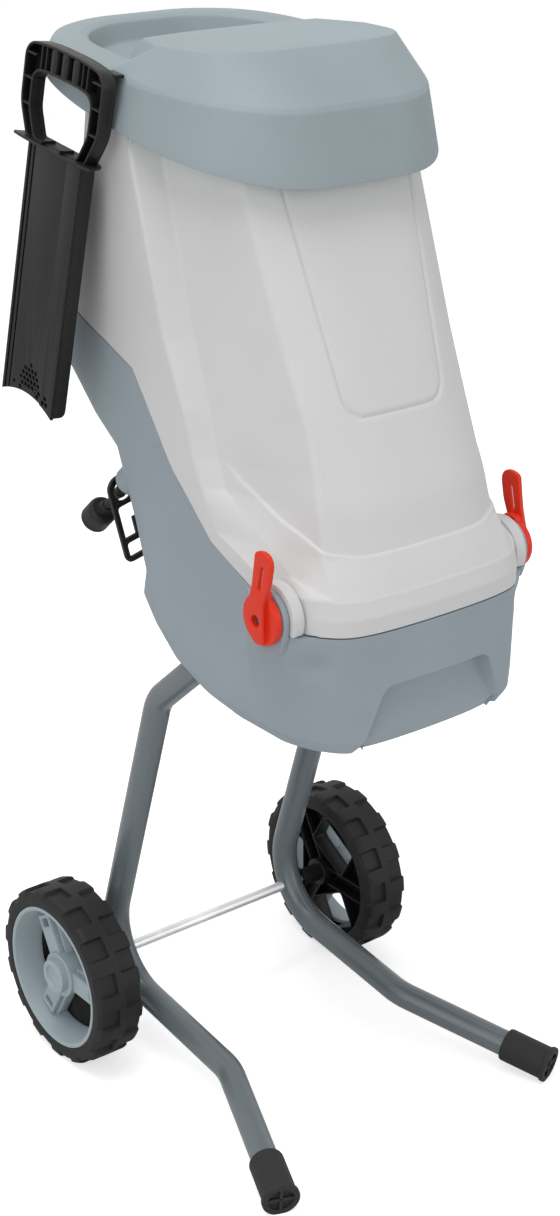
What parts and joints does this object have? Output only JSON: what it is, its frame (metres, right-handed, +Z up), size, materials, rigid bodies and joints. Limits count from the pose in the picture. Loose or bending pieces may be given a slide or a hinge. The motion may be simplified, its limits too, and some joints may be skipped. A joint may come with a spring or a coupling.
{
  "type": "garden shredder",
  "caption": "Electric garden shredder: grey housing with a white hinged hopper and grey hood on a bent tube stand, wheels at the rear, red locking levers and a hanging plunger.",
  "frame": {"origin": "on the floor, under the middle of the machine's box", "axes": "+Z up, -Y towards the discharge front, X across; the plunger hangs on the -X side"},
  "size_m": [0.373, 0.4299, 0.962],
  "materials": {
    "housing_plastic": "fine grain moulded plastic, blue grey",
    "cover_plastic": "fine grain moulded plastic, near white",
    "hood_plastic": "fine grain moulded plastic, light blue grey",
    "hub_plastic": "moulded plastic, light blue grey",
    "black_plastic": "moulded plastic, black",
    "wheel_plastic": "moulded plastic, black",
    "red_plastic": "moulded plastic, orange red",
    "green_plastic": "moulded plastic, green",
    "black_rubber": "soft rubber, black",
    "tube_paint": "powder coat, dark grey",
    "bright_steel": "bright steel",
    "dark_steel": "dark steel",
    "screw_steel": "zinc plated steel",
    "cast_alloy": "cast alloy",
    "copper_winding": "copper"
  },
  "bodies": {
    "base": {"motor_housing": "housing_plastic", "base_plate": "black_plastic", "base_screws": "screw_steel", "chip_deflector": "black_plastic", "motor_plate": "bright_steel", "plate_screws": "screw_steel", "motor_can": "dark_steel", "end_shield": "cast_alloy", "stator": "copper_winding", "brush_holders": "copper_winding", "upper_bearing": "bright_steel", "lower_bearing": "bright_steel", "switch_box": "black_plastic", "interlock_switch": "black_plastic", "lead_gland": "black_rubber", "power_lead": "black_rubber", "plug": "black_rubber", "plug_pins": "bright_steel", "leg_tube_left": "tube_paint", "leg_tube_right": "tube_paint", "leg_screws": "screw_steel", "foot_cap_left": "black_rubber", "foot_cap_right": "black_rubber", "axle": "bright_steel", "axle_nuts": "screw_steel", "spacer_bushes": "black_plastic", "hinge_pins": "bright_steel"},
    "rotor": {"rotor_shaft": "bright_steel", "rotor_core": "dark_steel", "commutator": "copper_winding", "cooling_fan": "black_plastic", "knife_disc": "dark_steel", "knife_a": "bright_steel", "knife_b": "bright_steel", "knife_screws": "screw_steel", "disc_bolt": "screw_steel"},
    "hopper": {"hopper_cover": "cover_plastic", "hopper_hood": "hood_plastic", "feed_chute": "black_plastic"},
    "wheel_left": {"wheel_left": "wheel_plastic", "hub_cap_left": "hub_plastic"},
    "wheel_right": {"wheel_right": "wheel_plastic", "hub_cap_right": "hub_plastic"},
    "lever_left": {"lever_left": "red_plastic", "lever_bolt_left": "bright_steel"},
    "lever_right": {"lever_right": "red_plastic", "lever_bolt_right": "bright_steel"},
    "start_button": {"start_button": "green_plastic"},
    "stop_button": {"stop_button": "red_plastic"},
    "reset_button": {"reset_button": "black_plastic"},
    "cord_hook": {"cord_hook": "black_plastic"},
    "plunger": {"plunger": "black_plastic"}
  },
  "joints": [
    {"name": "wheel_left_spin", "type": "hinge", "parent": "base", "child": "wheel_left", "pos_m": [-0.1625, 0.114, 0.0875], "axis": [1, 0, 0], "continuous": true},
    {"name": "wheel_right_spin", "type": "hinge", "parent": "base", "child": "wheel_right", "pos_m": [0.1625, 0.114, 0.0875], "axis": [1, 0, 0], "continuous": true},
    {"name": "rotor_spin", "type": "hinge", "parent": "base", "child": "rotor", "pos_m": [0, -0.091, 0.553], "axis": [0, -0.3987, 0.9171], "continuous": true},
    {"name": "hopper_hinge", "type": "hinge", "parent": "base", "child": "hopper", "pos_m": [0, 0.153, 0.748], "axis": [-1, 0, 0], "range_deg": [0, 55]},
    {"name": "lever_left_turn", "type": "hinge", "parent": "base", "child": "lever_left", "pos_m": [-0.13925, -0.154, 0.538], "axis": [1, 0, 0], "range_deg": [0, 100]},
    {"name": "lever_right_turn", "type": "hinge", "parent": "base", "child": "lever_right", "pos_m": [0.13925, -0.154, 0.538], "axis": [1, 0, 0], "range_deg": [0, 100]},
    {"name": "plunger_lift", "type": "slide", "parent": "hopper", "child": "plunger", "axis": [0, 0, 1], "range_m": [0, 0.1]},
    {"name": "start_press", "type": "slide", "parent": "base", "child": "start_button", "axis": [0, -0.9602, -0.2793], "range_m": [0, 0.003], "stiffness_N_per_m": 300},
    {"name": "stop_press", "type": "slide", "parent": "base", "child": "stop_button", "axis": [0, -0.9602, -0.2793], "range_m": [0, 0.003], "stiffness_N_per_m": 300},
    {"name": "reset_press", "type": "slide", "parent": "base", "child": "reset_button", "axis": [0, -0.9602, -0.2793], "range_m": [0, 0.003], "stiffness_N_per_m": 300},
    {"name": "cord_hook_swing", "type": "hinge", "parent": "base", "child": "cord_hook", "pos_m": [-0.101, 0.095, 0.5685], "axis": [0, 1, 0], "range_deg": [-30, 60]}
  ]
}
